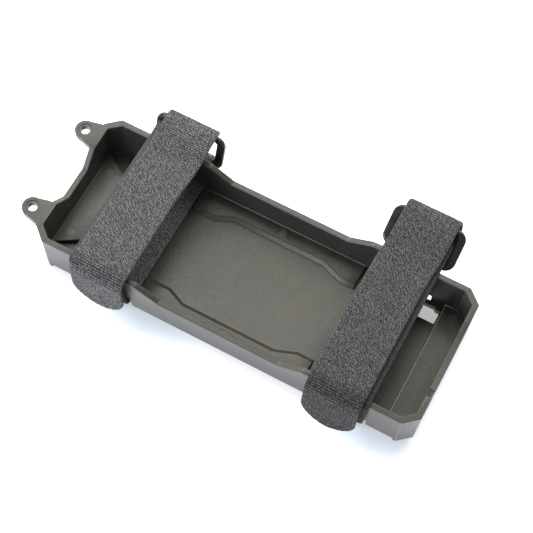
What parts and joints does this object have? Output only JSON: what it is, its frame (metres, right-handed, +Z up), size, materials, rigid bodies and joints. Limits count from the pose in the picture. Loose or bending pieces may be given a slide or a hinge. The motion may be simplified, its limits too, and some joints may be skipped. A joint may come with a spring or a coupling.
{
  "type": "battery tray",
  "caption": "Long shallow moulded battery tray with mounting ears, hook-and-loop hold-down straps and ring buckles.",
  "frame": {"origin": "centre of the tray's underside", "axes": "+X along the tray away from the mounting ears, +Y towards the ring buckles, +Z up out of the open side"},
  "size_m": [0.1567, 0.0817, 0.0289],
  "materials": {
    "tray_plastic": "fine spark-eroded matte, slightly worn to a satin on the rim",
    "webbing": "looped pile on woven webbing",
    "hook_tape": "rows of small stiff hooks",
    "ring_plastic": "satin gloss, polished by the webbing",
    "thread": "twisted sewing thread"
  },
  "bodies": {
    "tray_and_webbing": {"tray": "tray_plastic", "front_strap_webbing": "webbing", "front_loop_stitching": "thread", "rear_strap_webbing": "webbing", "rear_loop_stitching": "thread"},
    "front_buckle": {"front_ring_buckle": "ring_plastic"},
    "front_tail": {"front_strap_tail": "webbing"},
    "front_tip": {"front_strap_tip": "webbing", "front_hook_tape": "hook_tape", "front_tape_stitching": "thread"},
    "rear_buckle": {"rear_ring_buckle": "ring_plastic"},
    "rear_tail": {"rear_strap_tail": "webbing"},
    "rear_tip": {"rear_strap_tip": "webbing", "rear_hook_tape": "hook_tape", "rear_tape_stitching": "thread"}
  },
  "joints": [
    {"name": "front_buckle_swing", "type": "hinge", "parent": "tray_and_webbing", "child": "front_buckle", "pos_m": [-0.0442, 0.031, 0.0125], "axis": [1, 0, 0], "range_deg": [-3, 3]},
    {"name": "front_tail_peel", "type": "hinge", "parent": "tray_and_webbing", "child": "front_tail", "pos_m": [-0.0447, 0.03279, 0.02885], "axis": [-1, 0, 0], "range_deg": [0, 150]},
    {"name": "front_tip_lift", "type": "hinge", "parent": "front_tail", "child": "front_tip", "pos_m": [-0.0447, -0.02595, 0.02515], "axis": [-1, 0, 0], "range_deg": [0, 85]},
    {"name": "rear_buckle_swing", "type": "hinge", "parent": "tray_and_webbing", "child": "rear_buckle", "pos_m": [0.0466, 0.0316, 0.0172], "axis": [1, 0, 0], "range_deg": [-3, 3]},
    {"name": "rear_tail_peel", "type": "hinge", "parent": "tray_and_webbing", "child": "rear_tail", "pos_m": [0.0461, 0.04116, 0.02776], "axis": [-1, 0, 0], "range_deg": [0, 150]},
    {"name": "rear_tip_lift", "type": "hinge", "parent": "rear_tail", "child": "rear_tip", "pos_m": [0.0461, -0.02595, 0.02515], "axis": [-1, 0, 0], "range_deg": [0, 85]}
  ]
}
